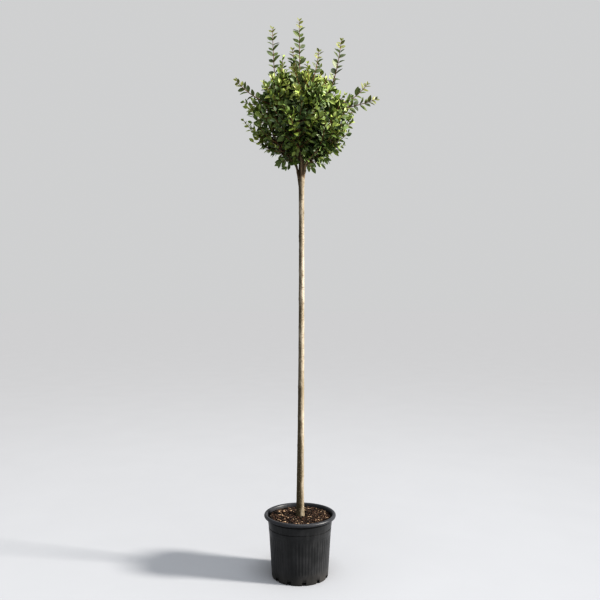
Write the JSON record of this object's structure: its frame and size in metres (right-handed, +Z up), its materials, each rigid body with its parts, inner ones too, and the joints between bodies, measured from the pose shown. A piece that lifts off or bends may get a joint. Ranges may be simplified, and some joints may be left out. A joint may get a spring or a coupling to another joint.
{
  "type": "potted standard privet",
  "caption": "Standard privet: a round head of small glossy leaves with long shoots, on a bare upright stem, planted in a round black nursery pot filled with bark compost.",
  "frame": {"origin": "centre of the pot's flat underside, on the ground", "axes": "+Z up along the stem, the front of the plant faces -Y, +X to the right in the front view"},
  "size_m": [0.5599, 0.5139, 2.2578],
  "materials": {
    "pot": "satin black moulded plastic",
    "compost": "loose brown bark compost",
    "bark": "smooth grey-tan bark",
    "foliage": "glossy green leaves"
  },
  "bodies": {
    "root": {"bough_leader": "bark", "bough_lower_back": "bark", "bough_lower_back_left": "bark", "bough_lower_front": "bark", "bough_lower_front_right": "bark", "bough_lower_left": "bark", "bough_lower_right": "bark", "bough_upper_back_left": "bark", "bough_upper_back_right": "bark", "bough_upper_front_left": "bark", "bough_upper_front_right": "bark", "bough_upper_right": "bark", "foliage_leader": "foliage", "foliage_lower_back": "foliage", "foliage_lower_back_left": "foliage", "foliage_lower_front": "foliage", "foliage_lower_front_right": "foliage", "foliage_lower_left": "foliage", "foliage_lower_right": "foliage", "foliage_upper_back_left": "foliage", "foliage_upper_back_right": "foliage", "foliage_upper_front_left": "foliage", "foliage_upper_front_right": "foliage", "foliage_upper_right": "foliage", "pot": "pot", "soil": "compost", "trunk": "bark"}
  },
  "joints": []
}
